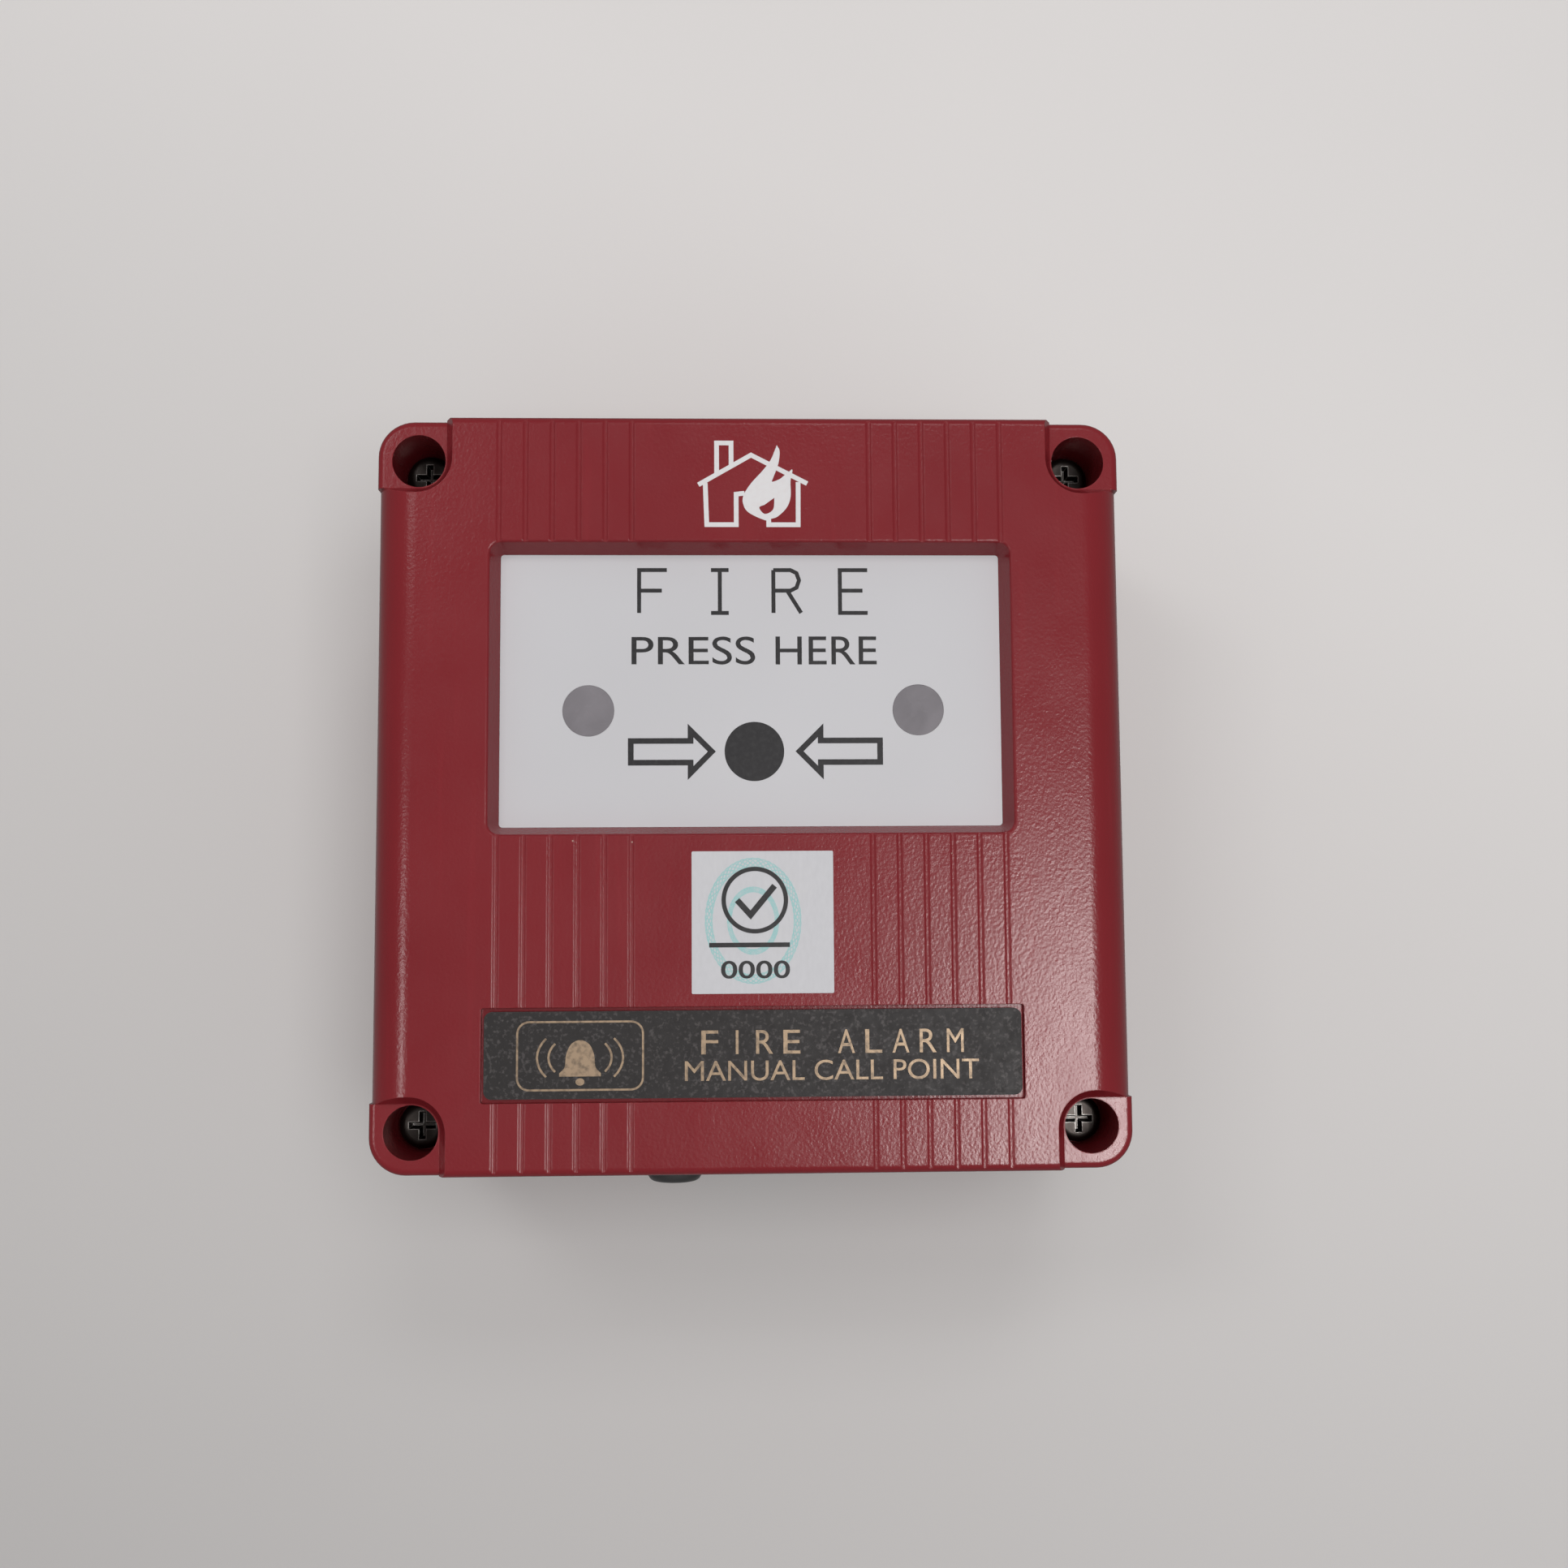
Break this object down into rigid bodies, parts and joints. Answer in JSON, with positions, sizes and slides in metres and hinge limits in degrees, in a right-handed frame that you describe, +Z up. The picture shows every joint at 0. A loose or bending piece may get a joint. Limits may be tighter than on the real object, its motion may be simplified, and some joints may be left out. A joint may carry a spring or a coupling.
{
  "type": "manual call point",
  "caption": "Square wall-mounted fire alarm call point: red cover with a hinged white press plate, reset keyway below and surface back box.",
  "frame": {"origin": "centre of the back box's mounting face, on the wall", "axes": "+Y into the wall (the outward normal of the mounting face), -Y out of the front, +Z up, +X to the right as seen from the front"},
  "size_m": [0.108, 0.0561, 0.1115],
  "materials": {
    "red_plastic": "fine textured moulded plastic",
    "white_plate": "smooth",
    "grey_lens": "smoked, smooth",
    "black_frame": "moulded",
    "grey_chassis": "moulded",
    "natural_plastic": "natural acetal",
    "black_rubber": "soft moulded",
    "steel": "stainless",
    "dark_steel": "blackened, worn bright on the edges",
    "zinc_steel": "zinc plated",
    "brass": "turned",
    "nameplate_black": "black anodised",
    "label_white": "printed adhesive label",
    "board_green": "solder-resisted laminate",
    "terminal_green": "moulded",
    "chip_black": "moulded",
    "capacitor_sleeve": "shrink sleeve",
    "led_clear": "water clear",
    "black_plastic": "moulded"
  },
  "bodies": {
    "housing": {"front_cover": "red_plastic", "back_box": "red_plastic", "cover_gasket": "black_rubber", "cover_screws": "dark_steel", "screw_seals": "black_rubber", "threaded_inserts": "brass", "hinge_pin": "steel", "chassis": "grey_chassis", "chassis_screws": "zinc_steel", "return_springs": "steel", "latch_spring": "steel", "circuit_board": "board_green", "board_screws": "zinc_steel", "microswitch": "black_frame", "switch_pins": "brass", "led_left": "led_clear", "led_right": "led_clear", "terminal_block": "terminal_green", "terminal_clamps": "zinc_steel", "terminal_screws": "zinc_steel", "controller_chip": "chip_black", "capacitor": "capacitor_sleeve", "chip_resistors": "chip_black", "nameplate": "nameplate_black", "approval_label": "label_white", "entry_seal": "black_rubber", "entry_plug": "black_plastic", "entry_locknut": "black_plastic", "rear_grommet": "black_rubber"},
    "call_plate": {"press_plate": "white_plate", "indicator_lens_left": "grey_lens", "indicator_lens_right": "grey_lens", "plate_carrier": "black_frame"},
    "latch": {"latch_slider": "natural_plastic"},
    "plunger": {"switch_plunger": "natural_plastic"},
    "key_plug": {"reset_plug": "black_rubber"}
  },
  "joints": [
    {"name": "plate_hinge", "type": "hinge", "parent": "housing", "child": "call_plate", "pos_m": [0, -0.048, 0.0385], "axis": [1, 0, 0], "range_deg": [0, 4], "stiffness_Nm_per_rad": 8, "springref_deg": -1.72, "deforming": ["return_springs"]},
    {"name": "latch_slide", "type": "slide", "parent": "housing", "child": "latch", "axis": [0, 0, 1], "range_m": [-0.003, 0], "deforming": ["latch_spring"]},
    {"name": "plunger_slide", "type": "slide", "parent": "housing", "child": "plunger", "axis": [0, 1, 0], "range_m": [0, 0.00235]},
    {"name": "key_plug_pull", "type": "slide", "parent": "housing", "child": "key_plug", "axis": [0, 0, -1], "range_m": [0, 0.02]}
  ],
  "couplings": [
    {"joint": "latch_slide", "follows": "plate_hinge", "m_per_rad": -0.042972},
    {"joint": "plunger_slide", "follows": "plate_hinge", "m_per_rad": 0.03285}
  ]
}
